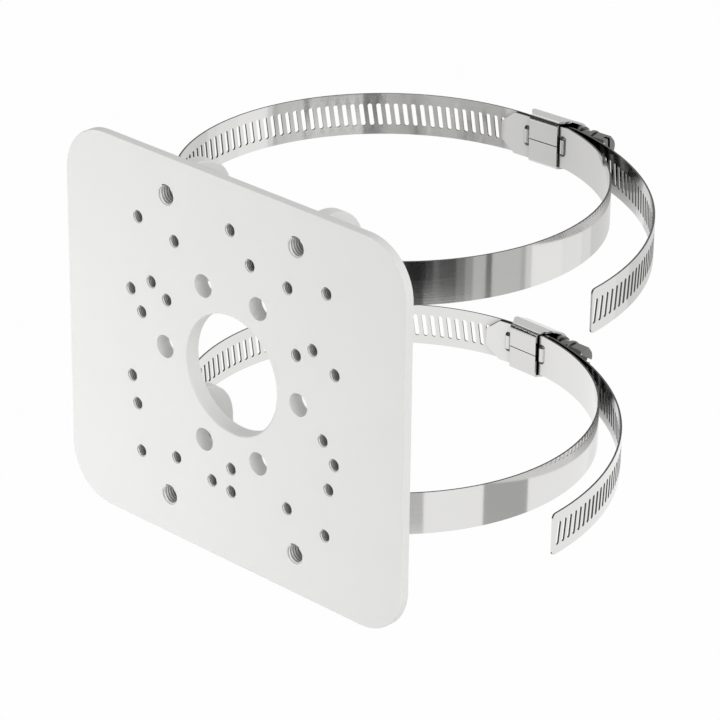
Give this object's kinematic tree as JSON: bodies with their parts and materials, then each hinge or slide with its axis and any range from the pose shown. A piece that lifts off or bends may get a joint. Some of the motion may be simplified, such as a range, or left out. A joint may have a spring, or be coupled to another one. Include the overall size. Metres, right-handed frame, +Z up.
{
  "type": "camera pole mount bracket",
  "caption": "Flat cast adapter plate with a round cable opening and a field of threaded holes, held to a pole by perforated worm-drive band clamps passed through lugs on its back.",
  "frame": {"origin": "centre of the cable opening in the plate's front face", "axes": "+X to the plate's right seen from its front, +Y back towards the pole, +Z up along the pole"},
  "size_m": [0.2017, 0.1803, 0.152],
  "materials": {
    "plate": "satin powder coat",
    "band": "polished stainless strip",
    "housing": "pressed stainless sheet",
    "screw": "turned stainless"
  },
  "bodies": {
    "bracket": {"mount_plate": "plate", "upper_clamp_band": "band", "upper_clamp_housing": "housing", "lower_clamp_band": "band", "lower_clamp_housing": "housing"},
    "upper_screw": {"upper_worm_screw": "screw"},
    "lower_screw": {"lower_worm_screw": "screw"}
  },
  "joints": [
    {"name": "upper_screw_spin", "type": "hinge", "parent": "bracket", "child": "upper_screw", "pos_m": [0.00316, 0.17378, 0.045], "axis": [0.9984, 0.0558, 0], "continuous": true},
    {"name": "lower_screw_spin", "type": "hinge", "parent": "bracket", "child": "lower_screw", "pos_m": [-0.0011, 0.17205, -0.04405], "axis": [0.9999, -0.0115, -0.0062], "continuous": true}
  ]
}
